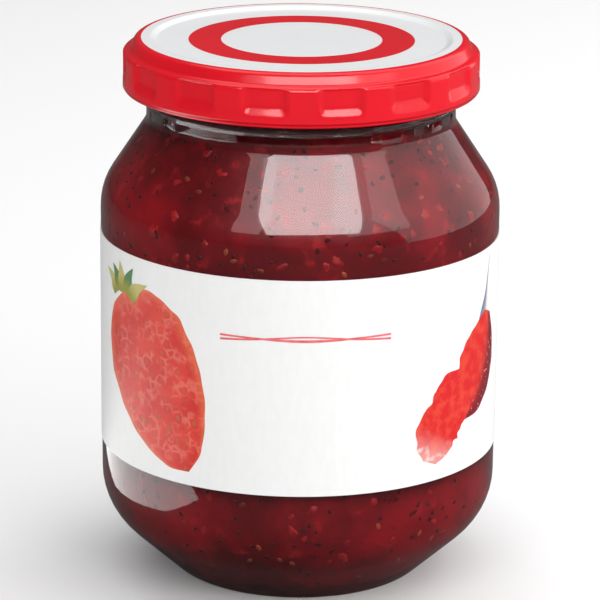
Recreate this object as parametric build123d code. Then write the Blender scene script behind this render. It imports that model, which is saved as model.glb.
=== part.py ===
"""Jam jar: a clear glass jar full of jam, with a paper label and a metal twist-off cap.

Millimetres, +Z up. The origin is the centre of the base, on the plane the jar
stands on, and the middle of the label faces -Y.
"""
from build123d import *
from math import cos, radians, sin, tan
import os

# glass: outside
body_radius = 37.0
base_to_panel_corner = 13.1
panel_height = 60.3
flank_angle = 42.8
shoulder_angle = 56.4
neck_radius = 28.5
heel_round = 4.5
lower_round = 13.6
shoulder_round = 11.8
neck_round = 3.0

# glass: walls, floor and finish
wall = 2.4
floor_thickness = 4.2
push_up_height = 1.6
bearing_width = 2.5
inner_heel_round = 5.0
neck_height = 14.4
finish_radius = 29.8
finish_height = 8.8
finish_step_round = 0.5
bead_radius = 29.1
bead_height = 1.4
bead_gap = 0.7
rim_round = 1.0

# jam
jam_headspace = 11.2

# label
label_height = 40.2
label_thickness = 0.15

# cap
cap_height = 9.5
cap_radius = 32.8
sheet = 0.3
panel_radius = 26.6
panel_sink = 0.5
crown_radius = 30.5
crown_slope_run = 1.0
crown_slope_drop = 2.0
skirt_drop = 0.5
panel_edge_run = 1.0
crown_round = 1.1
step_round = 0.5
skirt_round = 0.8
curl_height = 1.3
curl_width = 1.3
curl_round = 0.55
recess_count = 15
recess_angle = 13.0
recess_depth = 0.6
recess_height = 3.8
recess_drop = 3.0
recess_turn = 12.7

# heights that follow from the sizes above
panel_top_corner = base_to_panel_corner + panel_height
neck_corner = panel_top_corner + (body_radius - neck_radius) * tan(radians(shoulder_angle))
rim_height = neck_corner + neck_height
finish_bottom = rim_height - finish_height
bead_top = finish_bottom - bead_gap
jam_level = rim_height - jam_headspace
cap_top = rim_height + sheet + panel_sink
cap_bottom = cap_top - cap_height
panel_middle = base_to_panel_corner + panel_height / 2
label_bottom = panel_middle + 2.2 - label_height / 2


def flank_radius_at(height, inset):
    """Radius of the flank's straight line, moved inwards by inset, at a height."""
    angle = radians(flank_angle)
    return body_radius - (base_to_panel_corner - height) / tan(angle) - inset / sin(angle)


def cone_corner(radius_low, radius_high, inset):
    """Heights where the shoulder's line, moved inwards, meets two upright walls."""
    angle = radians(shoulder_angle)
    shift = inset / cos(angle)
    low = panel_top_corner + (body_radius - radius_low) * tan(angle) - shift
    high = panel_top_corner + (body_radius - radius_high) * tan(angle) - shift
    return low, high


def revolved(points, radii):
    """Turn a closed outline of (radius, height) corners, each with its own rounding."""
    with BuildPart() as turned:
        with BuildSketch(Plane.XZ):
            with BuildLine():
                Polyline(points, close=True)
            face = make_face()
            for point, radius in zip(points, radii):
                if radius > 0:
                    corner = face.vertices().sort_by_distance((point[0], 0, point[1]))[0]
                    fillet(corner, radius)
        revolve(axis=Axis.Z)
    return turned.part


def glass_outside():
    """The jar's outer shape as one filled solid."""
    heel = flank_radius_at(0, 0)
    bearing_inner = heel - heel_round * tan(radians(flank_angle / 2)) - bearing_width
    bead_bottom = bead_top - bead_height
    points = [
        (0, push_up_height),
        (bearing_inner - push_up_height * 2, push_up_height),
        (bearing_inner, 0),
        (heel, 0),
        (body_radius, base_to_panel_corner),
        (body_radius, panel_top_corner),
        (neck_radius, neck_corner),
        (neck_radius, bead_bottom),
        (bead_radius, bead_bottom),
        (bead_radius, bead_top),
        (neck_radius, bead_top),
        (neck_radius, finish_bottom),
        (finish_radius, finish_bottom),
        (finish_radius, rim_height),
        (0, rim_height),
    ]
    bead_round = (bead_radius - neck_radius) * 0.8
    radii = [0, 0, 0, heel_round, lower_round, shoulder_round, neck_round,
             0, bead_round, bead_round, 0, 0, finish_step_round, rim_round, 0]
    return revolved(points, radii)


def inside_outline(top, top_round):
    """Outline of the jar's inside, from the floor up to a height in the neck."""
    inner_body = body_radius - wall
    inner_neck = neck_radius - wall
    angle = radians(flank_angle)
    floor_radius = flank_radius_at(floor_thickness, wall)
    panel_start = base_to_panel_corner + wall / cos(angle) - wall * tan(angle)
    low, high = cone_corner(inner_body, inner_neck, wall)
    points = [
        (0, floor_thickness),
        (floor_radius, floor_thickness),
        (inner_body, panel_start),
        (inner_body, low),
        (inner_neck, high),
        (inner_neck, top),
        (0, top),
    ]
    radii = [0, inner_heel_round, lower_round - wall, shoulder_round - wall, neck_round + wall,
             top_round, 0]
    return points, radii


def make_glass_jar():
    """The jar: the outer shape with its inside taken out, open at the mouth."""
    points, radii = inside_outline(rim_height + 1, 0)
    jar = glass_outside() - revolved(points, radii)
    return jar


def make_jam():
    """The jam fills the inside, face to face, up to its level in the neck."""
    points, radii = inside_outline(jam_level, 0)
    return revolved(points, radii)


def make_label():
    """A paper band right round the upright panel."""
    outer = Cylinder(body_radius + label_thickness, label_height, align=(Align.CENTER, Align.CENTER, Align.MIN))
    inner = Cylinder(body_radius, label_height, align=(Align.CENTER, Align.CENTER, Align.MIN))
    return Pos(0, 0, label_bottom) * (outer - inner)


def cap_blank(inset, bottom):
    """The cap's outline, moved inwards by inset, turned as a filled solid."""
    top = cap_top - inset
    step_height = top - crown_slope_drop
    points = [
        (0, top - panel_sink),
        (panel_radius, top - panel_sink),
        (panel_radius + panel_edge_run, top),
        (crown_radius - inset, top),
        (crown_radius + crown_slope_run - inset, step_height),
        (cap_radius - inset, step_height - skirt_drop),
        (cap_radius - inset, bottom),
        (0, bottom),
    ]
    radii = [0, 0, 0, crown_round - inset, step_round + inset, skirt_round - inset, 0, 0]
    return revolved(points, radii)


def recess_ring(grow):
    """Blocks that press the finger recesses into the skirt, grown by a margin."""
    inner = cap_radius - recess_depth - grow
    outer = cap_radius + 1
    top = cap_top - recess_drop + grow
    grow_angle = grow / cap_radius * 180 / 3.14159
    with BuildPart() as block:
        with BuildSketch(Plane.XZ):
            with Locations(((inner + outer) / 2, top - recess_height / 2 - grow)):
                Rectangle(outer - inner, recess_height + 2 * grow)
        revolve(axis=Axis.Z, revolution_arc=recess_angle + 2 * grow_angle)
    start = -90 + recess_turn - recess_angle / 2 - grow_angle
    pitch = 360 / recess_count
    return [Rot(0, 0, start + index * pitch) * block.part for index in range(recess_count)]


def make_cap():
    """A thin pressed cap: sunk panel, stepped crown, skirt with recesses and a rolled edge."""
    outside = cap_blank(0, cap_bottom) - recess_ring(0)
    inside = cap_blank(sheet, cap_bottom - 1) - recess_ring(sheet)
    shell = outside - inside
    curl_inner = cap_radius - curl_width
    curl = revolved(
        [
            (curl_inner, cap_bottom),
            (cap_radius, cap_bottom),
            (cap_radius, cap_bottom + curl_height),
            (curl_inner, cap_bottom + curl_height),
        ],
        [curl_round, curl_round, 0, curl_round],
    )
    trimmed = shell - Pos(0, 0, cap_bottom - 1) * Cylinder(
        cap_radius + 1, 1 + curl_height / 2, align=(Align.CENTER, Align.CENTER, Align.MIN)
    )
    return trimmed + curl


parts = {
    "glass_jar": make_glass_jar(),
    "jam": make_jam(),
    "label": make_label(),
    "cap": make_cap(),
}

os.makedirs("parts", exist_ok=True)
for name, shape in parts.items():
    shape.label = name
    export_step(shape, f"parts/{name}.step")

print("cap bottom", round(cap_bottom, 2), "cap top", round(cap_top, 2))
print("jam level", round(jam_level, 2), "neck corner", round(neck_corner, 2))
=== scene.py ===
import random
from math import asin, atan2, cos, exp, hypot, pi, radians, sin, tan

import bmesh
import bpy
from mathutils import Matrix, Vector, noise


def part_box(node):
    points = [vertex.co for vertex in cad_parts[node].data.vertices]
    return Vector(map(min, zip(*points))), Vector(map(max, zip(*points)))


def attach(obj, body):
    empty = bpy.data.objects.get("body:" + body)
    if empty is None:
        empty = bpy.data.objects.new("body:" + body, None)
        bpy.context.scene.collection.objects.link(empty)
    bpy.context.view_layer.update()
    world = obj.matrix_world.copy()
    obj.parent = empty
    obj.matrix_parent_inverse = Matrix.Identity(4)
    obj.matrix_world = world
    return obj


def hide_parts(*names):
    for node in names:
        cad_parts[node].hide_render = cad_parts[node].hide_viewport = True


bl_info = {
    "name": "Jam Jar",
    "version": (1, 0, 0),
    "blender": (4, 5, 0),
    "location": "View3D > Sidebar > Jam Jar",
    "description": "Builds the looks of a glass jar of jam with its label and cap",
    "category": "Object",
}

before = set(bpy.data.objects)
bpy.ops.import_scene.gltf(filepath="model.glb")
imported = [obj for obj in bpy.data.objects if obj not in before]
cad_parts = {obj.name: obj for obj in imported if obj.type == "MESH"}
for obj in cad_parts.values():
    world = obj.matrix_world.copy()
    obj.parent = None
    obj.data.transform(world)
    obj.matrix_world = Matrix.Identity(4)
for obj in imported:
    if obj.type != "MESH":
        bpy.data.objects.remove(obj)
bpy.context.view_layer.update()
MM = 0.001
JAR_LOW, JAR_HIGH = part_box("glass_jar")
JAM_LOW, JAM_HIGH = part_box("jam")
LABEL_LOW, LABEL_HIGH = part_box("label")
CAP_LOW, CAP_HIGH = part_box("cap")


# ---------------------------------------------------------------- sizes and colours

def length(name, description, default):
    """A length property, in metres."""
    return bpy.props.FloatProperty(
        name=name, description=description, default=default, min=0.0,
        unit="LENGTH", subtype="DISTANCE", precision=5,
    )


def angle(name, description, default):
    """An angle property, in radians, given in degrees."""
    return bpy.props.FloatProperty(
        name=name, description=description, default=radians(default),
        unit="ROTATION", subtype="ANGLE",
    )


def colour(name, description, default):
    """A linear colour property."""
    return bpy.props.FloatVectorProperty(
        name=name, description=description, default=default, size=3,
        subtype="COLOR", min=0.0, max=1.0,
    )


class JamJarGlassSizes(bpy.types.PropertyGroup):
    body_radius: length("Body radius", "Radius of the upright panel", JAR_HIGH[0])
    rim_height: length("Rim height", "Height of the sealing rim", JAR_HIGH[2])
    wall: length("Wall", "Thickness of the glass wall", 2.4 * MM)
    floor: length("Floor", "Thickness of the floor on the axis", JAM_LOW[2])
    push_up: length("Push-up", "How far the base is pushed up inside its ring", 1.6 * MM)
    bearing: length("Bearing width", "Width of the ring the jar stands on", 2.5 * MM)
    panel_low: length("Panel foot", "Height where the flank meets the panel", 13.1 * MM)
    panel_high: length("Panel top", "Height where the panel meets the shoulder", 73.4 * MM)
    flank: angle("Flank angle", "Slope of the flank above the foot", 42.8)
    shoulder: angle("Shoulder angle", "Slope of the shoulder", 56.4)
    neck_radius: length("Neck radius", "Outer radius of the neck", 28.5 * MM)
    bead_radius: length("Bead radius", "Outer radius of the bead under the cap", 29.1 * MM)
    finish_radius: length("Finish radius", "Outer radius of the glass under the cap", 29.8 * MM)
    finish_height: length("Finish height", "Height of the glass under the cap", 8.8 * MM)
    heel_round: length("Heel round", "Rounding of the heel", 4.5 * MM)
    lower_round: length("Lower round", "Rounding below the panel", 13.6 * MM)
    shoulder_round: length("Shoulder round", "Rounding of the shoulder", 11.8 * MM)
    neck_round: length("Neck round", "Rounding at the foot of the neck", 3.0 * MM)
    inner_heel: length("Inner heel", "Rounding inside at the floor", 5.0 * MM)


class JamJarFillSizes(bpy.types.PropertyGroup):
    level: length("Level", "Height of the jam", JAM_HIGH[2])
    into_wall: length("Into the wall", "How far the jam reaches into the glass", 0.1 * MM)
    seed_length: length("Seed length", "Length of a strawberry seed", 1.15 * MM)
    bit_size: length("Fruit bit", "Half the usual width of a fruit piece", 1.5 * MM)
    seed_count: bpy.props.IntProperty(name="Seeds", description="Number of seeds", default=620, min=0)
    bit_count: bpy.props.IntProperty(name="Bits", description="Number of fruit pieces", default=170, min=0)
    shade: colour("Shade", "The jam in its depths", (0.12, 0.0012, 0.004))
    body: colour("Body", "The jam's main colour", (0.29, 0.0045, 0.010))
    bright: colour("Bright", "Thin and bright places of the jam", (0.42, 0.011, 0.015))


class JamJarLabelSizes(bpy.types.PropertyGroup):
    bottom: length("Bottom", "Height of the label's lower edge", LABEL_LOW[2])
    top: length("Top", "Height of the label's upper edge", LABEL_HIGH[2])
    thickness: length("Thickness", "Thickness of the paper", 0.13 * MM)
    overlap: length("Overlap", "Overlap of the paper at the back", 7.0 * MM)
    ink: length("Ink", "Height of the print over the paper", 0.02 * MM)
    paper: colour("Paper", "Colour of the paper", (0.93, 0.93, 0.925))
    berry: colour("Berry", "Colour of the printed strawberry", (0.83, 0.055, 0.03))


class JamJarCapSizes(bpy.types.PropertyGroup):
    radius: length("Radius", "Outer radius of the skirt", CAP_HIGH[0])
    top: length("Top", "Height of the raised ring round the panel", CAP_HIGH[2])
    bottom: length("Bottom", "Height of the rolled edge", CAP_LOW[2])
    sheet: length("Sheet", "Thickness of the metal", 0.3 * MM)
    recess_count: bpy.props.IntProperty(name="Recesses", description="Finger recesses round the skirt",
                                        default=15, min=3)
    recess_angle: angle("Recess width", "Angle that one recess spans", 13.0)
    recess_turn: angle("Recess turn", "Turn of the first recess from the front", 12.7)
    recess_depth: length("Recess depth", "Depth of a recess", 0.75 * MM)
    disc: length("White disc", "Radius of the white printed disc", 29.4 * MM)
    ring_in: length("Ring inside", "Inner radius of the printed ring", 14.75 * MM)
    ring_out: length("Ring outside", "Outer radius of the printed ring", 20.75 * MM)
    red: colour("Red", "Red lacquer", (0.8, 0.006, 0.018))
    white: colour("White", "White lacquer", (0.9, 0.905, 0.915))


GROUPS = {
    "jam_jar_glass": JamJarGlassSizes,
    "jam_jar_fill": JamJarFillSizes,
    "jam_jar_label": JamJarLabelSizes,
    "jam_jar_cap": JamJarCapSizes,
}


# ---------------------------------------------------------------- outlines

def rounded(corners, arc_step=radians(6)):
    """Points of an outline whose (radius, height, rounding) corners become arcs."""
    points = []
    last = len(corners) - 1
    for index, (r, z, rounding) in enumerate(corners):
        here = Vector((r, z))
        if rounding <= 0 or index in (0, last):
            points.append(here)
            continue
        before = (Vector(corners[index - 1][:2]) - here).normalized()
        after = (Vector(corners[index + 1][:2]) - here).normalized()
        half = before.angle(after) / 2
        centre = here + (before + after).normalized() * (rounding / sin(half))
        start = here + before * (rounding / tan(half)) - centre
        turn = pi - 2 * half
        if start.x * after.y - start.y * after.x < 0:
            turn = -turn
        steps = max(3, int(abs(turn) / arc_step))
        for step in range(steps + 1):
            swing = turn * step / steps
            c, s = cos(swing), sin(swing)
            points.append(centre + Vector((start.x * c - start.y * s, start.x * s + start.y * c)))
    return points


def with_extra_points(points, spacing):
    """Add points so that no straight stretch is longer than the spacing."""
    dense = [points[0]]
    for a, b in zip(points, points[1:]):
        pieces = max(1, int((b - a).length / spacing))
        dense += [a.lerp(b, step / pieces) for step in range(1, pieces + 1)]
    return dense


def flank_radius(sizes, height, inset):
    """Radius of the flank's line, moved inwards, at a height."""
    slope = sizes.flank
    return sizes.body_radius - (sizes.panel_low - height) / tan(slope) - inset / sin(slope)


def outside_corners(sizes):
    """The jar's outer outline from the axis under the base to the rim."""
    heel = flank_radius(sizes, 0, 0)
    bearing = heel - sizes.heel_round * tan(sizes.flank / 2) - sizes.bearing
    neck_foot = sizes.panel_high + (sizes.body_radius - sizes.neck_radius) * tan(sizes.shoulder)
    finish_foot = sizes.rim_height - sizes.finish_height
    bead_top = finish_foot - 0.7 * MM
    bead_foot = bead_top - 1.4 * MM
    bead_round = (sizes.bead_radius - sizes.neck_radius) * 0.95
    return [
        (0, sizes.push_up, 0),
        (bearing - sizes.push_up * 2, sizes.push_up, 3 * MM),
        (bearing, 0, 1.2 * MM),
        (heel, 0, sizes.heel_round),
        (sizes.body_radius, sizes.panel_low, sizes.lower_round),
        (sizes.body_radius, sizes.panel_high, sizes.shoulder_round),
        (sizes.neck_radius, neck_foot, sizes.neck_round),
        (sizes.neck_radius, bead_foot, bead_round * 0.4),
        (sizes.bead_radius, bead_foot, bead_round),
        (sizes.bead_radius, bead_top, bead_round),
        (sizes.neck_radius, bead_top, bead_round * 0.2),
        (sizes.neck_radius, finish_foot, 0),
        (sizes.finish_radius, finish_foot, 0.5 * MM),
        (sizes.finish_radius, sizes.rim_height, 1.0 * MM),
    ]


def inside_corners(sizes, top, grow=0.0):
    """The jar's inner outline from the floor's middle up the wall to a height."""
    wall = sizes.wall - grow
    floor = sizes.floor - grow
    body = sizes.body_radius - wall
    neck = sizes.neck_radius - wall
    panel_foot = sizes.panel_low + wall / cos(sizes.flank) - wall * tan(sizes.flank)
    shift = wall / cos(sizes.shoulder)
    shoulder_foot = sizes.panel_high + wall * tan(sizes.shoulder) - shift
    slope_rise = (sizes.body_radius - neck) * tan(sizes.shoulder)
    neck_foot = sizes.panel_high + slope_rise - shift
    return [
        (0, floor, 0),
        (flank_radius(sizes, floor, wall), floor, sizes.inner_heel),
        (body, panel_foot, sizes.lower_round - wall),
        (body, shoulder_foot, sizes.shoulder_round - wall),
        (neck, neck_foot, sizes.neck_round + wall),
        (neck, top, 0),
    ]


def radius_at(points, height):
    """Radius of an outline at a height, with the outline's slope there."""
    for a, b in zip(points, points[1:]):
        if a.y <= height < b.y:
            share = (height - a.y) / (b.y - a.y)
            return a.x + (b.x - a.x) * share, (b - a).normalized()
    return points[-1].x, Vector((0, 1))


# ---------------------------------------------------------------- mesh helpers

def turned(points, steps, closed=True):
    """A bmesh of an outline turned once round Z."""
    bm = bmesh.new()
    verts = [bm.verts.new((point.x, 0, point.y)) for point in points]
    edges = [bm.edges.new(pair) for pair in zip(verts, verts[1:])]
    if closed and points[0].x > 0 and points[-1].x > 0:
        edges.append(bm.edges.new((verts[-1], verts[0])))
    bmesh.ops.spin(bm, geom=verts + edges, cent=(0, 0, 0), axis=(0, 0, 1),
                   dvec=(0, 0, 0), angle=2 * pi, steps=steps, use_merge=True)
    bmesh.ops.remove_doubles(bm, verts=bm.verts, dist=1e-6)
    bmesh.ops.recalc_face_normals(bm, faces=bm.faces)
    return bm


def finish_piece(name, bm, material, node, smooth=True):
    """Turn a bmesh into a piece that stands for a CAD node."""
    mesh = bpy.data.meshes.new(name)
    bm.to_mesh(mesh)
    bm.free()
    for polygon in mesh.polygons:
        polygon.use_smooth = smooth
    mesh.materials.append(material)
    piece = bpy.data.objects.new(name, mesh)
    bpy.context.scene.collection.objects.link(piece)
    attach(piece, "root")
    if node:
        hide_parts(node)
    return piece


def soften(value):
    """Smooth step from 0 to 1."""
    value = min(1.0, max(0.0, value))
    return value * value * (3 - 2 * value)


# ---------------------------------------------------------------- material helpers

def new_material(name):
    """An empty node material with one Principled BSDF."""
    material = bpy.data.materials.new(name)
    material.use_nodes = True
    nodes = material.node_tree.nodes
    nodes.clear()
    output = nodes.new("ShaderNodeOutputMaterial")
    shader = nodes.new("ShaderNodeBsdfPrincipled")
    material.node_tree.links.new(shader.outputs[0], output.inputs["Surface"])
    return material, shader


def add(material, kind, inputs=None, **settings):
    """Add a node, set its values and link its inputs."""
    node = material.node_tree.nodes.new(kind)
    for key, value in settings.items():
        setattr(node, key, value)
    for key, value in (inputs or {}).items():
        if isinstance(value, bpy.types.NodeSocket):
            material.node_tree.links.new(value, node.inputs[key])
        else:
            node.inputs[key].default_value = value
    return node


def link(material, output, target):
    material.node_tree.links.new(output, target)


def maths(material, operation, first, second=0.0, clamp=False):
    """A Math node's output."""
    return add(material, "ShaderNodeMath", {0: first, 1: second},
               operation=operation, use_clamp=clamp).outputs[0]


def blend(material, factor, first, second):
    """The output of a colour mix."""
    node = material.node_tree.nodes.new("ShaderNodeMix")
    node.data_type = "RGBA"
    for socket, value in ((node.inputs[0], factor), (node.inputs[6], first), (node.inputs[7], second)):
        if isinstance(value, bpy.types.NodeSocket):
            material.node_tree.links.new(value, socket)
        elif isinstance(value, (int, float)):
            socket.default_value = value
        else:
            socket.default_value = (*value, 1.0)
    return node.outputs[2]


def step_between(material, value, low, high):
    """A smooth mask that rises from 0 to 1 between two values."""
    node = add(material, "ShaderNodeMapRange",
               {0: value, 1: low, 2: high, 3: 0.0, 4: 1.0}, interpolation_type="SMOOTHSTEP")
    return node.outputs[0]


def object_place(material):
    return add(material, "ShaderNodeTexCoord").outputs["Object"]


def noise_of(material, place, scale, detail=3.0, roughness=0.55):
    """The value of a noise texture at a place."""
    return add(material, "ShaderNodeTexNoise",
               {"Vector": place, "Scale": scale, "Detail": detail, "Roughness": roughness}).outputs[0]


def relief_group():
    """Node group: small unevenness as a normal and a roughness, at a given scale."""
    name = "surface_relief"
    if name in bpy.data.node_groups:
        return bpy.data.node_groups[name]
    group = bpy.data.node_groups.new(name, "ShaderNodeTree")
    face = group.interface
    face.new_socket("Place", in_out="INPUT", socket_type="NodeSocketVector")
    for label, default in (("Scale", 500.0), ("Height", 0.1), ("Roughness", 0.3), ("Variation", 0.1)):
        socket = face.new_socket(label, in_out="INPUT", socket_type="NodeSocketFloat")
        socket.default_value = default
    face.new_socket("Normal", in_out="OUTPUT", socket_type="NodeSocketVector")
    face.new_socket("Roughness", in_out="OUTPUT", socket_type="NodeSocketFloat")
    nodes, links = group.nodes, group.links
    source = nodes.new("NodeGroupInput")
    result = nodes.new("NodeGroupOutput")
    fine = nodes.new("ShaderNodeTexNoise")
    fine.inputs["Detail"].default_value = 4.0
    links.new(source.outputs["Place"], fine.inputs["Vector"])
    links.new(source.outputs["Scale"], fine.inputs["Scale"])
    bump = nodes.new("ShaderNodeBump")
    bump.inputs["Distance"].default_value = 0.0002
    links.new(source.outputs["Height"], bump.inputs["Strength"])
    links.new(fine.outputs[0], bump.inputs["Height"])
    links.new(bump.outputs[0], result.inputs["Normal"])
    spread = nodes.new("ShaderNodeMath")
    spread.operation = "SUBTRACT"
    spread.inputs[1].default_value = 0.5
    links.new(fine.outputs[0], spread.inputs[0])
    scaled = nodes.new("ShaderNodeMath")
    scaled.operation = "MULTIPLY"
    links.new(spread.outputs[0], scaled.inputs[0])
    links.new(source.outputs["Variation"], scaled.inputs[1])
    total = nodes.new("ShaderNodeMath")
    total.operation = "ADD"
    links.new(scaled.outputs[0], total.inputs[0])
    links.new(source.outputs["Roughness"], total.inputs[1])
    links.new(total.outputs[0], result.inputs["Roughness"])
    return group


def add_relief(material, shader, place, scale, height, roughness, variation):
    """Give a shader its relief and its uneven roughness."""
    group = add(material, "ShaderNodeGroup", node_tree=relief_group())
    link(material, place, group.inputs["Place"])
    for label, value in (("Scale", scale), ("Height", height), ("Roughness", roughness),
                         ("Variation", variation)):
        group.inputs[label].default_value = value
    link(material, group.outputs["Normal"], shader.inputs["Normal"])
    link(material, group.outputs["Roughness"], shader.inputs["Roughness"])
    return group


# ---------------------------------------------------------------- materials

def glass_material():
    """Clear moulded glass with a faint waviness."""
    material, shader = new_material("clear_glass")
    shader.inputs["Base Color"].default_value = (0.965, 0.985, 0.975, 1)
    shader.inputs["Transmission Weight"].default_value = 1.0
    shader.inputs["IOR"].default_value = 1.5
    shader.inputs["Specular IOR Level"].default_value = 0.42
    place = object_place(material)
    add_relief(material, shader, place, 90.0, 0.12, 0.03, 0.01)
    clear = add(material, "ShaderNodeBsdfTransparent")
    path = add(material, "ShaderNodeLightPath")
    mix = add(material, "ShaderNodeMixShader")
    link(material, path.outputs["Is Shadow Ray"], mix.inputs[0])
    link(material, shader.outputs[0], mix.inputs[1])
    link(material, clear.outputs[0], mix.inputs[2])
    output = next(n for n in material.node_tree.nodes if n.bl_idname == "ShaderNodeOutputMaterial")
    link(material, mix.outputs[0], output.inputs["Surface"])
    return material


def jam_material(sizes):
    """Thick fruit gel: dark depths, redder clouds and small bright and dark specks."""
    material, shader = new_material("jam_gel")
    place = object_place(material)
    clouds = noise_of(material, place, 55.0, 4.0, 0.6)
    pulp = noise_of(material, place, 230.0, 5.0, 0.6)
    depth = step_between(material, clouds, 0.36, 0.66)
    base = blend(material, depth, sizes.shade, sizes.body)
    thin = step_between(material, pulp, 0.56, 0.72)
    base = blend(material, maths(material, "MULTIPLY", thin, 0.7), base, sizes.bright)
    cells = add(material, "ShaderNodeTexVoronoi", {"Vector": place, "Scale": 330.0}).outputs["Distance"]
    specks = maths(material, "SUBTRACT", 1.0, step_between(material, cells, 0.05, 0.2))
    base = blend(material, maths(material, "MULTIPLY", specks, 0.5), base, sizes.shade)
    link(material, base, shader.inputs["Base Color"])
    shader.inputs["Subsurface Weight"].default_value = 0.12
    shader.inputs["Subsurface Radius"].default_value = (0.004, 0.0006, 0.0005)
    shader.inputs["Subsurface Scale"].default_value = 0.5
    shader.inputs["Specular IOR Level"].default_value = 0.1
    add_relief(material, shader, place, 320.0, 0.5, 0.35, 0.25)
    return material


def fruit_material():
    """Soft cooked fruit: brighter red with paler veins."""
    material, shader = new_material("cooked_fruit")
    place = object_place(material)
    veins = noise_of(material, place, 420.0, 3.0)
    base = blend(material, step_between(material, veins, 0.42, 0.68),
                 (0.27, 0.005, 0.009), (0.44, 0.015, 0.017))
    link(material, base, shader.inputs["Base Color"])
    shader.inputs["Specular IOR Level"].default_value = 0.12
    add_relief(material, shader, place, 700.0, 0.3, 0.4, 0.2)
    return material


def seed_material():
    """Seeds from dark wine red to amber, one tint for each seed."""
    material, shader = new_material("berry_seed")
    tint = add(material, "ShaderNodeAttribute", attribute_name="tint").outputs["Fac"]
    base = blend(material, step_between(material, tint, 0.72, 1.0),
                 (0.07, 0.0015, 0.003), (0.34, 0.06, 0.022))
    link(material, base, shader.inputs["Base Color"])
    shader.inputs["Specular IOR Level"].default_value = 0.1
    add_relief(material, shader, object_place(material), 1500.0, 0.3, 0.4, 0.2)
    return material


def paper_material(sizes):
    """Coated white paper with a fine fibre."""
    material, shader = new_material("label_paper")
    place = object_place(material)
    stretched = add(material, "ShaderNodeMapping", {"Vector": place, "Scale": (1.0, 1.0, 0.35)})
    fibre = noise_of(material, stretched.outputs[0], 900.0, 4.0)
    warm = blend(material, step_between(material, fibre, 0.3, 0.7),
                 [c * 0.975 for c in sizes.paper], sizes.paper)
    link(material, warm, shader.inputs["Base Color"])
    shader.inputs["Specular IOR Level"].default_value = 0.35
    add_relief(material, shader, stretched.outputs[0], 1400.0, 0.12, 0.42, 0.12)
    return material


def lacquer_material(sizes):
    """Printed lacquer on pressed tin: red, with a white disc and a red ring on top."""
    material, shader = new_material("cap_lacquer")
    place = object_place(material)
    axes = add(material, "ShaderNodeSeparateXYZ", {0: place})
    flat = add(material, "ShaderNodeCombineXYZ", {0: axes.outputs[0], 1: axes.outputs[1]})
    out = add(material, "ShaderNodeVectorMath", {0: flat.outputs[0]}, operation="LENGTH").outputs["Value"]
    edge = 0.06 * MM
    outside_disc = step_between(material, out, sizes.disc - edge, sizes.disc + edge)
    past_inner = step_between(material, out, sizes.ring_in - edge, sizes.ring_in + edge)
    past_outer = step_between(material, out, sizes.ring_out - edge, sizes.ring_out + edge)
    ring = maths(material, "SUBTRACT", past_inner, past_outer)
    red_mask = maths(material, "MAXIMUM", outside_disc, ring)
    mottle = noise_of(material, place, 60.0, 2.0)
    red = blend(material, step_between(material, mottle, 0.3, 0.7),
                [c * 0.93 for c in sizes.red], sizes.red)
    white = blend(material, step_between(material, mottle, 0.3, 0.7),
                  [c * 0.98 for c in sizes.white], sizes.white)
    base = blend(material, red_mask, white, red)
    link(material, base, shader.inputs["Base Color"])
    shader.inputs["Coat Weight"].default_value = 0.15
    shader.inputs["Coat Roughness"].default_value = 0.12
    shader.inputs["Specular IOR Level"].default_value = 0.3
    add_relief(material, shader, place, 300.0, 0.035, 0.2, 0.05)
    return material


def print_material(name, base_socket, material, shader):
    """Finish a printed material: ink on coated paper."""
    link(material, base_socket, shader.inputs["Base Color"])
    shader.inputs["Specular IOR Level"].default_value = 0.3
    add_relief(material, shader, object_place(material), 1400.0, 0.08, 0.4, 0.1)
    material.name = name
    return material


def span_of(material):
    """Across (-1 to 1) and along (0 to 1) of a printed shape."""
    uv = add(material, "ShaderNodeUVMap", uv_map="span").outputs[0]
    axes = add(material, "ShaderNodeSeparateXYZ", {0: uv})
    across = maths(material, "MULTIPLY_ADD", axes.outputs[0], 2.0)
    across.node.inputs[2].default_value = -1.0
    return across, axes.outputs[1]


def flat_of(material):
    """Unrolled place on the label, in metres."""
    return add(material, "ShaderNodeUVMap", uv_map="flat").outputs[0]


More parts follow.
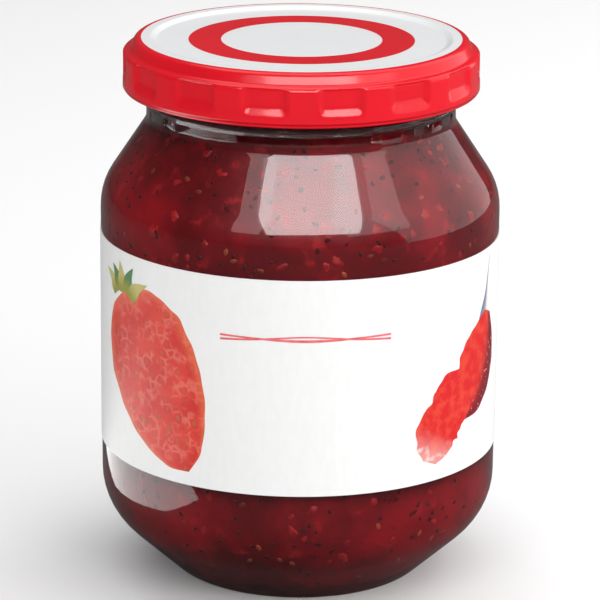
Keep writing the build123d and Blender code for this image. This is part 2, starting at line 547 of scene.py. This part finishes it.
def berry_material(sizes):
    """Printed strawberry: net of pale lines, seeds in its cells, paler rim."""
    material, shader = new_material("print_berry")
    flat = flat_of(material)
    across, along = span_of(material)
    wobble = add(material, "ShaderNodeTexNoise", {"Vector": flat, "Scale": 160.0})
    shifted = add(material, "ShaderNodeVectorMath",
                  {0: wobble.outputs["Color"], 1: (0.0016, 0.0016, 0.0)}, operation="MULTIPLY")
    place = add(material, "ShaderNodeVectorMath", {0: flat, 1: shifted.outputs[0]}).outputs[0]
    shade = noise_of(material, flat, 190.0, 3.0)
    skin = blend(material, step_between(material, shade, 0.35, 0.68),
                 (0.68, 0.02, 0.012), (0.78, 0.045, 0.024))
    edges = add(material, "ShaderNodeTexVoronoi", {"Vector": place, "Scale": 560.0, "Randomness": 0.6},
                feature="DISTANCE_TO_EDGE").outputs["Distance"]
    net = maths(material, "SUBTRACT", 1.0, step_between(material, edges, 0.02, 0.2))
    patch = step_between(material, noise_of(material, flat, 330.0, 3.0), 0.42, 0.62)
    net = maths(material, "MULTIPLY", net, maths(material, "MULTIPLY", patch, 0.5))
    skin = blend(material, net, skin, (0.86, 0.24, 0.17))
    centres = add(material, "ShaderNodeTexVoronoi", {"Vector": place, "Scale": 560.0, "Randomness": 0.6})
    seeds = maths(material, "SUBTRACT", 1.0, step_between(material, centres.outputs["Distance"], 0.12, 0.3))
    lower = step_between(material, along, 0.2, 0.75)
    seeds = maths(material, "MULTIPLY", seeds, maths(material, "MULTIPLY_ADD", lower, 0.5))
    skin = blend(material, seeds, skin, (0.42, 0.13, 0.035))
    rim = step_between(material, maths(material, "ABSOLUTE", across), 0.78, 1.0)
    skin = blend(material, maths(material, "MULTIPLY", rim, 0.55), skin, (0.87, 0.2, 0.08))
    top = maths(material, "SUBTRACT", 1.0, step_between(material, along, 0.0, 0.16))
    skin = blend(material, maths(material, "MULTIPLY", top, 0.6), skin, (0.9, 0.24, 0.13))
    return print_material("print_berry", skin, material, shader)


def leaf_material(name, tip):
    """Printed leaves: their own colour at the tips, yellow-green at the foot."""
    material, shader = new_material(name)
    across, along = span_of(material)
    streak = noise_of(material, flat_of(material), 700.0, 2.0)
    green = blend(material, step_between(material, along, 0.05, 0.6), (0.3, 0.3, 0.03), tip)
    green = blend(material, maths(material, "MULTIPLY", streak, 0.35), green, (0.5, 0.46, 0.08))
    return print_material(name, green, material, shader)


def spoon_material():
    """Printed spoon metal: soft grey with a dark and a light side."""
    material, shader = new_material("print_spoon")
    across, along = span_of(material)
    grey = blend(material, step_between(material, across, 0.6, -0.5),
                 (0.2, 0.23, 0.32), (0.86, 0.84, 0.83))
    grey = blend(material, step_between(material, along, 0.3, 0.0), grey, (0.7, 0.67, 0.68))
    return print_material("print_spoon", grey, material, shader)


def printed_jam_material(name, dark_side, pale_end):
    """Printed jam: bright red, dark along one side, pale where it thins out."""
    material, shader = new_material(name)
    flat = flat_of(material)
    across, along = span_of(material)
    mottle = noise_of(material, flat, 420.0, 4.0)
    red = blend(material, step_between(material, mottle, 0.4, 0.66), (0.72, 0.008, 0.01), (0.8, 0.05, 0.025))
    side = step_between(material, across, -0.05, -0.7)
    specks = step_between(material, noise_of(material, flat, 1100.0, 2.0), 0.6, 0.7)
    deep = blend(material, specks, (0.2, 0.006, 0.014), (0.68, 0.35, 0.36))
    red = blend(material, maths(material, "MULTIPLY", side, dark_side), red, deep)
    light = step_between(material, noise_of(material, flat, 260.0, 2.0), 0.52, 0.66)
    end = maths(material, "MULTIPLY", step_between(material, along, 0.66, 1.0),
                maths(material, "MULTIPLY_ADD", light, 0.8))
    end.node.inputs[2].default_value = 0.0
    red = blend(material, maths(material, "MULTIPLY", end, pale_end), red, (0.9, 0.62, 0.58))
    return print_material(name, red, material, shader)


def ribbon_material():
    """Thin printed red lines."""
    material, shader = new_material("print_line")
    across, along = span_of(material)
    fade = noise_of(material, flat_of(material), 500.0, 2.0)
    red = blend(material, step_between(material, fade, 0.3, 0.7), (0.80, 0.12, 0.14), (0.86, 0.2, 0.21))
    return print_material("print_line", red, material, shader)


# ---------------------------------------------------------------- jar and jam

class JAMJAR_OT_glass(bpy.types.Operator):
    """Turn the clear glass jar from one closed outline"""
    bl_idname = "jamjar.glass"
    bl_label = "Glass jar"

    def execute(self, context):
        sizes = context.scene.jam_jar_glass
        inner_rim = (sizes.neck_radius - sizes.wall, sizes.rim_height, 0.8 * MM)
        inside = inside_corners(sizes, sizes.rim_height)[:-1]
        corners = outside_corners(sizes) + [inner_rim] + inside[::-1]
        points = with_extra_points(rounded(corners), 6 * MM)
        bm = turned(points, 240)
        finish_foot = sizes.rim_height - sizes.finish_height
        for vert in bm.verts:
            out = vert.co.xy.length
            near = soften((vert.co.z - finish_foot + 3.4 * MM) / MM) * soften((finish_foot + MM - vert.co.z) / MM)
            if near > 0 and out > sizes.neck_radius - 0.5 * MM:
                ripple = noise.noise(Vector((vert.co.x, vert.co.y, vert.co.z * 2.5)) * 260.0)
                vert.co.xy *= 1 + 0.16 * MM * near * ripple / out
        finish_piece("jar_glass", bm, glass_material(), "glass_jar")
        return {"FINISHED"}


class JAMJAR_OT_jam(bpy.types.Operator):
    """Fill the jar with jam up to its level, reaching just into the wall"""
    bl_idname = "jamjar.jam"
    bl_label = "Jam"

    def execute(self, context):
        sizes = context.scene.jam_jar_glass
        fill = context.scene.jam_jar_fill
        wall = rounded(inside_corners(sizes, fill.level, fill.into_wall))
        rim = wall[-1]
        meniscus = [Vector((rim.x - 0.5 * MM, rim.y - 0.25 * MM)), Vector((rim.x - 1.6 * MM, rim.y - 0.4 * MM))]
        top = meniscus + [Vector((0, rim.y - 0.4 * MM))]
        points = with_extra_points(wall + top, 2.2 * MM)
        bm = turned(points, 160)
        for vert in bm.verts:
            if vert.co.z > fill.level - 0.6 * MM and vert.co.xy.length < rim.x - 1.2 * MM:
                vert.co.z += noise.noise(vert.co * 220.0) * 0.35 * MM
        finish_piece("jam_fill", bm, jam_material(fill), "jam")
        return {"FINISHED"}


def scatter_places(sizes, fill, count, seed, low, high):
    """Seeded places on the jam's side, clear of the label's band."""
    draw = random.Random(seed)
    wall = rounded(inside_corners(sizes, fill.level, fill.into_wall))
    label = bpy.context.scene.jam_jar_label
    places = []
    while len(places) < count:
        height = draw.uniform(low, high)
        if label.bottom + 2 * MM < height < label.top - 2 * MM:
            continue
        radius, slope = radius_at(wall, height)
        turn = draw.uniform(-pi, pi)
        out = Vector((slope.y * sin(turn), -slope.y * cos(turn), -slope.x))
        spot = Vector((radius * sin(turn), -radius * cos(turn), height))
        places.append((spot, out, draw.uniform(0, 2 * pi), draw.random()))
    return places, draw


def scattered(bm, places, shape_of, subdivisions):
    """Add a small ball at each place, shaped and turned to lie on the surface."""
    tint = bm.verts.layers.float.new("tint")
    for spot, out, spin, chance in places:
        made = bmesh.ops.create_icosphere(bm, subdivisions=subdivisions, radius=1.0)
        scale, sink, ripple = shape_of(chance)
        lie = out.to_track_quat("Z", "Y").to_matrix().to_4x4()
        place = Matrix.Translation(spot - out * sink) @ lie @ Matrix.Rotation(spin, 4, "Z")
        for vert in made["verts"]:
            shape = vert.co * (1.0 + ripple * noise.noise(vert.co * 1.7 + spot * 900.0))
            vert.co = place @ Vector((shape.x * scale.x, shape.y * scale.y, shape.z * scale.z))
            vert[tint] = chance


class JAMJAR_OT_fruit(bpy.types.Operator):
    """Sink fruit pieces and seeds into the jam, against the glass"""
    bl_idname = "jamjar.fruit"
    bl_label = "Fruit and seeds"

    def execute(self, context):
        sizes = context.scene.jam_jar_glass
        fill = context.scene.jam_jar_fill
        low = sizes.floor + 1.5 * MM
        high = fill.level - 1.5 * MM

        def bit_shape(chance):
            size = fill.bit_size * (0.45 + 0.9 * chance)
            thick = 0.45 * size
            return Vector((size, size * 0.7, thick)), thick - 0.14 * MM, 0.3

        def seed_shape(chance):
            size = fill.seed_length / 2 * (0.75 + 0.5 * chance)
            thick = 0.42 * size
            return Vector((size, size * 0.62, thick)), thick - 0.2 * MM, 0.0

        places, _ = scatter_places(sizes, fill, fill.bit_count, 11, low + 2 * MM, high - 2 * MM)
        bits = bmesh.new()
        scattered(bits, places, bit_shape, 3)
        finish_piece("fruit_pieces", bits, fruit_material(), None)
        places, _ = scatter_places(sizes, fill, fill.seed_count, 23, low, high)
        seeds = bmesh.new()
        scattered(seeds, places, seed_shape, 2)
        finish_piece("berry_seeds", seeds, seed_material(), None)
        return {"FINISHED"}


# ---------------------------------------------------------------- label and its print

def wrap(around, height, radius, base_radius):
    """Place on the label: distance round from the front, height and radius."""
    turn = around / base_radius
    return Vector((radius * sin(turn), -radius * cos(turn), height))


class JAMJAR_OT_label(bpy.types.Operator):
    """Wrap the paper round the panel, overlapping itself at the back"""
    bl_idname = "jamjar.label"
    bl_label = "Label"

    def execute(self, context):
        sizes = context.scene.jam_jar_label
        radius = context.scene.jam_jar_glass.body_radius
        half = pi * radius
        long = 2 * half + sizes.overlap
        bm = bmesh.new()
        bmesh.ops.create_grid(bm, x_segments=220, y_segments=8, size=0.5)
        outline = [face for face in bm.faces]
        extruded = bmesh.ops.extrude_face_region(bm, geom=outline)
        lifted = {item for item in extruded["geom"] if isinstance(item, bmesh.types.BMVert)}
        for vert in bm.verts:
            around = (vert.co.x + 0.5) * long - half
            height = sizes.bottom + (vert.co.y + 0.5) * (sizes.top - sizes.bottom)
            over = soften((around - half + 1.5 * MM) / (1.5 * MM)) * sizes.thickness
            out = radius + over + (sizes.thickness if vert in lifted else 0.0)
            vert.co = wrap(around, height, out, radius)
        bmesh.ops.recalc_face_normals(bm, faces=bm.faces)
        piece = finish_piece("label_wrap", bm, paper_material(sizes), "label", smooth=False)
        for polygon in piece.data.polygons:
            polygon.use_smooth = abs(polygon.normal.z) < 0.5
        edge = piece.modifiers.new("edge", "EDGE_SPLIT")
        edge.split_angle = radians(40)
        return {"FINISHED"}


def curve_point(points, share):
    """A point on a smooth curve through a few given points, with its direction."""
    spans = len(points) - 1
    where = min(share * spans, spans - 1e-6)
    index = int(where)
    t = where - index
    p1, p2 = Vector(points[index]), Vector(points[index + 1])
    p0 = Vector(points[index - 1]) if index > 0 else p1 * 2 - p2
    p3 = Vector(points[index + 2]) if index + 2 <= spans else p2 * 2 - p1
    m1, m2 = (p2 - p0) / 2, (p3 - p1) / 2
    spot = (2 * t**3 - 3 * t**2 + 1) * p1 + (t**3 - 2 * t**2 + t) * m1
    spot += (3 * t**2 - 2 * t**3) * p2 + (t**3 - t**2) * m2
    ahead = (6 * t**2 - 6 * t) * (p1 - p2) + (3 * t**2 - 4 * t + 1) * m1 + (3 * t**2 - 2 * t) * m2
    return spot, ahead.normalized()


def printed_shape(name, spine, widths, material, lift=1.0, rows=40, columns=10, ragged=0.0):
    """Ink on the label: a strip along a spine (mm round, mm up) with a changing half width."""
    scene = bpy.context.scene
    label = scene.jam_jar_label
    base = scene.jam_jar_glass.body_radius
    face_radius = base + label.thickness + label.ink * lift
    bm = bmesh.new()
    bmesh.ops.create_grid(bm, x_segments=columns, y_segments=rows, size=0.5)
    span = bm.loops.layers.uv.new("span")
    flat = bm.loops.layers.uv.new("flat")
    unrolled = {}
    for vert in bm.verts:
        across, along = vert.co.x * 2, vert.co.y + 0.5
        spot, ahead = curve_point(spine, along)
        half, _ = curve_point([(width, 0.0) for width in widths], along)
        width = max(0.0, half.x)
        side = Vector((-ahead.y, ahead.x))
        if ragged:
            width *= 1 + ragged * noise.noise(Vector((along * 9, across * 2, len(name))))
        place = spot - side * across * width
        unrolled[vert] = (across, along, place * MM)
    for face in bm.faces:
        for corner in face.loops:
            across, along, place = unrolled[corner.vert]
            corner[span].uv = (across / 2 + 0.5, along)
            corner[flat].uv = place
    for vert, (_, _, place) in unrolled.items():
        vert.co = wrap(place.x, place.y, face_radius, base)
    bmesh.ops.remove_doubles(bm, verts=bm.verts, dist=1e-6)
    bmesh.ops.recalc_face_normals(bm, faces=bm.faces)
    middle = next(iter(bm.faces))
    if middle.normal.dot(middle.calc_center_median()) < 0:
        bmesh.ops.reverse_faces(bm, faces=bm.faces)
    return finish_piece(name, bm, material, None)


def round_widths(length_mm, widest, count=13, lean=0.28):
    """Half widths of a berry: round at the top, narrower towards the tip."""
    widths = []
    for index in range(count):
        share = index / (count - 1)
        turn = 2 * asin(share**0.5)
        widths.append(widest * sin(turn) * (1 + lean * cos(turn)))
    return widths


class JAMJAR_OT_print(bpy.types.Operator):
    """Print a strawberry, a spoon of jam and two thin lines on the label"""
    bl_idname = "jamjar.print"
    bl_label = "Label print"

    def execute(self, context):
        sizes = context.scene.jam_jar_label
        berry = berry_material(sizes)
        leaves = [leaf_material("print_leaf_pale", (0.62, 0.55, 0.2)),
                  leaf_material("print_leaf_dark", (0.02, 0.21, 0.09))]
        count = 21
        shares = [index / (count - 1) for index in range(count)]
        widths = [12.9 * (sin(pi * s**0.9))**0.5 * (1 - 0.3 * s * s) for s in shares]
        printed_shape("print_strawberry", [(-36.8, 59.2), (-32.6, 49.8), (-26.4, 38.6), (-20.6, 27.9)],
                      widths, berry, rows=70, columns=36, ragged=0.05)
        foot = (-38.4, 57.4)
        tips = [(-45.5, 61.0), (-42.6, 62.4), (-39.6, 63.6), (-34.8, 63.2), (-30.6, 60.9)]
        for index, tip in enumerate(tips):
            start = (foot[0] + (index - 2) * 1.3, foot[1] + (0.5 if 0 < index < 4 else -0.2))
            middle = ((start[0] + tip[0]) / 2 - 0.35 * (index - 2), (start[1] + tip[1]) / 2 + 0.3)
            printed_shape(f"print_leaf_{index + 1}", [start, middle, tip], [1.0, 1.5, 0.8, 0.02], leaves[index % 2],
                          lift=1.6 + 0.2 * index, rows=14, columns=4)
        printed_shape("print_spoon_handle", [(44.6, 64.4), (43.8, 59.5), (43.2, 55.0), (42.4, 50.5)],
                      [0.22, 0.35, 0.9, 2.3, 3.2], spoon_material(), rows=26, columns=6)
        scoop = printed_jam_material("print_scoop", 0.95, 0.0)
        printed_shape("print_spoon_jam", [(44.0, 53.6), (41.6, 47.5), (38.4, 41.0), (34.0, 35.4)],
                      [1.4, 4.4, 6.4, 7.0, 6.2, 4.4, 0.8], scoop, lift=1.8, rows=44, columns=18, ragged=0.08)
        spill = printed_jam_material("print_spill", 0.0, 1.0)
        printed_shape("print_jam_drop", [(36.0, 44.8), (31.6, 39.0), (28.0, 34.6), (25.8, 29.0)],
                      [1.2, 4.6, 5.6, 5.3, 5.3, 5.2, 4.4, 1.6], spill, lift=2.4, rows=44, columns=18, ragged=0.18)
        line = ribbon_material()
        for index, (end, middle) in enumerate(((54.1, 55.2), (54.9, 54.45))):
            spine = [(-14.3, end), (-8.6, (end * 2 + middle) / 3), (1.3, middle),
                     (11.2, (end * 2 + middle) / 3), (16.9, end)]
            printed_shape(f"print_line_{index + 1}", spine, [0.2, 0.17, 0.15 + 0.1 * index, 0.17, 0.2], line,
                          lift=1.0 + index * 0.5, rows=60, columns=2)
        return {"FINISHED"}


# ---------------------------------------------------------------- cap

def cap_corners(sizes, inset):
    """The cap's outline from the axis to the skirt's foot, moved inwards by inset."""
    top = sizes.top - inset
    edge = sizes.radius - inset
    step = top - 2.0 * MM
    return [
        (0, top - 0.5 * MM, 0),
        (26.6 * MM, top - 0.5 * MM, 0.8 * MM),
        (27.7 * MM, top, 0.8 * MM),
        (30.5 * MM - inset, top, 1.25 * MM - inset),
        (31.45 * MM - inset, step, 0.55 * MM + inset),
        (edge, step - 0.45 * MM, 0.85 * MM - inset),
    ]


class JAMJAR_OT_cap(bpy.types.Operator):
    """Press the twist-off cap: sunk panel, stepped crown, recessed skirt, rolled edge"""
    bl_idname = "jamjar.cap"
    bl_label = "Cap"

    def execute(self, context):
        sizes = context.scene.jam_jar_cap
        edge, sheet, foot = sizes.radius, sizes.sheet, sizes.bottom
        curl = 1.3 * MM
        corners = cap_corners(sizes, 0)
        corners += [(edge, foot, 0.6 * MM), (edge - curl, foot, 0.6 * MM),
                    (edge - curl, foot + curl, 0.3 * MM), (edge - sheet, foot + curl, 0)]
        corners += cap_corners(sizes, sheet)[::-1]
        bm = turned(with_extra_points(rounded(corners), 0.45 * MM), sizes.recess_count * 24)
        low = foot + 1.9 * MM
        high = sizes.top - 2.5 * MM
        blur = 0.55 * MM
        pitch = 2 * pi / sizes.recess_count
        half = sizes.recess_angle / 2
        side_blur = radians(1.6)
        for vert in bm.verts:
            out = vert.co.xy.length
            if out < edge - sheet - 0.45 * MM:
                continue
            rise = soften((vert.co.z - low) / (3.2 * blur)) * soften((high - vert.co.z) / blur + 0.35)
            turn = atan2(vert.co.x, -vert.co.y) - sizes.recess_turn
            off = abs((turn + pitch / 2) % pitch - pitch / 2)
            across = soften((half - off) / side_blur + 0.5)
            press = sizes.recess_depth * rise * across
            wave = 0.04 * MM * noise.noise(vert.co * 300.0) * rise
            vert.co.xy = vert.co.xy * ((out - press + wave) / out)
        bmesh.ops.recalc_face_normals(bm, faces=bm.faces)
        finish_piece("cap_shell", bm, lacquer_material(sizes), "cap")
        return {"FINISHED"}


# ---------------------------------------------------------------- stage

def soft_light(name, place, target, width, height, radiance, tint=(1, 1, 1)):
    """A rectangular softbox of a given radiance, aimed at a point."""
    data = bpy.data.lights.new(name, "AREA")
    data.shape = "RECTANGLE"
    data.size = width
    data.size_y = height
    data.energy = radiance * pi * width * height
    data.color = tint
    lamp = bpy.data.objects.new(name, data)
    bpy.context.scene.collection.objects.link(lamp)
    away = Vector(place) - Vector(target)
    lamp.matrix_world = Matrix.Translation(place) @ away.to_track_quat("Z", "Y").to_matrix().to_4x4()
    return lamp


class JAMJAR_OT_stage(bpy.types.Operator):
    """Set up the pale floor, the soft studio light and the camera"""
    bl_idname = "jamjar.stage"
    bl_label = "Stage"

    def execute(self, context):
        scene = context.scene
        bm = bmesh.new()
        bmesh.ops.create_grid(bm, x_segments=1, y_segments=1, size=4.0)
        material, shader = new_material("floor")
        path = add(material, "ShaderNodeLightPath")
        # Painted reflection: the floor is pale to the camera and to diffuse light, but dark grey to glossy rays, so
        # its reflection on the glass and cap is painted darker
        floor_tone_dim_in_reflections = blend(material, path.outputs["Is Glossy Ray"], (0.9, 0.9, 0.9), (0.16, 0.16, 0.16))
        link(material, floor_tone_dim_in_reflections, shader.inputs["Base Color"])
        shader.inputs["Roughness"].default_value = 0.9
        shader.inputs["Specular IOR Level"].default_value = 0.0
        mesh = bpy.data.meshes.new("floor")
        bm.to_mesh(mesh)
        bm.free()
        mesh.materials.append(material)
        floor = bpy.data.objects.new("floor", mesh)
        scene.collection.objects.link(floor)

        world = bpy.data.worlds.new("studio")
        scene.world = world
        world.use_nodes = True
        nodes, links = world.node_tree.nodes, world.node_tree.links
        nodes.clear()
        back = nodes.new("ShaderNodeBackground")
        path = nodes.new("ShaderNodeLightPath")
        dim = nodes.new("ShaderNodeMapRange")
        dim.inputs[3].default_value = 0.5
        dim.inputs[4].default_value = 0.1
        links.new(path.outputs["Is Glossy Ray"], dim.inputs[0])
        links.new(dim.outputs[0], back.inputs["Strength"])
        output = nodes.new("ShaderNodeOutputWorld")
        links.new(back.outputs[0], output.inputs["Surface"])

        centre = (0, 0, 0.05)
        soft_light("front_right", (0.66, -0.62, 0.66), centre, 0.75, 0.60, 1.35)
        soft_light("front_left", (-0.46, -0.74, 0.68), centre, 0.30, 0.56, 1.8)
        soft_light("front_middle", (0.10, -0.74, 0.66), centre, 0.95, 0.56, 1.35)
        glint = soft_light("front_glint", (0.10, -0.72, 0.64), centre, 0.88, 0.50, 7.5)
        glint.visible_diffuse = False
        card = soft_light("left_card", (-0.115, -0.005, 0.002), (-0.115, -0.005, -1.0), 0.10, 0.11, 3.0)
        card.matrix_world = Matrix.Translation((-0.115, -0.005, 0.002)) @ Matrix.Rotation(pi, 4, "X")
        card.visible_diffuse = False
        card.visible_camera = False
        card.visible_transmission = False
        soft_light("right_wall", (0.62, 0.12, 0.36), centre, 1.3, 0.8, 1.15)
        soft_light("top", (0.05, 0.3, 1.2), centre, 1.3, 0.9, 1.75)

        distance = 0.64279
        look = Vector((0, 0, 0.05103))
        lift = radians(16.654)
        place = look + Vector((0, -cos(lift), sin(lift))) * distance
        data = bpy.data.cameras.new("camera")
        data.sensor_width = 36.0
        data.lens = 205.95
        data.shift_x = 0.00124
        data.clip_start = 0.01
        camera = bpy.data.objects.new("camera", data)
        scene.collection.objects.link(camera)
        facing = (place - look).to_track_quat("Z", "Y").to_matrix().to_4x4()
        camera.matrix_world = Matrix.Translation(place) @ facing @ Matrix.Rotation(radians(0.543), 4, "Z")
        scene.camera = camera
        scene.view_settings.view_transform = "Standard"
        return {"FINISHED"}


# ---------------------------------------------------------------- panel and main

OPERATORS = [
    JAMJAR_OT_stage,
    JAMJAR_OT_glass,
    JAMJAR_OT_jam,
    JAMJAR_OT_fruit,
    JAMJAR_OT_label,
    JAMJAR_OT_print,
    JAMJAR_OT_cap,
]


class JAMJAR_PT_panel(bpy.types.Panel):
    """Lists the jar's sizes and the steps that build it"""
    bl_label = "Jam Jar"
    bl_space_type = "VIEW_3D"
    bl_region_type = "UI"
    bl_category = "Jam Jar"

    def draw(self, context):
        layout = self.layout
        for group_name in GROUPS:
            group = getattr(context.scene, group_name)
            box = layout.box()
            for key in group.bl_rna.properties.keys():
                if key not in ("rna_type", "name"):
                    box.prop(group, key)
        for operator in OPERATORS:
            layout.operator(operator.bl_idname)


CLASSES = [*GROUPS.values(), *OPERATORS, JAMJAR_PT_panel]


def register():
    for item in CLASSES:
        bpy.utils.register_class(item)
    for name, group in GROUPS.items():
        setattr(bpy.types.Scene, name, bpy.props.PointerProperty(type=group))


def unregister():
    for name in GROUPS:
        delattr(bpy.types.Scene, name)
    for item in reversed(CLASSES):
        bpy.utils.unregister_class(item)


def main():
    register()
    for operator in OPERATORS:
        group, name = operator.bl_idname.split(".")
        getattr(getattr(bpy.ops, group), name)()


if __name__ == "__main__":
    main()
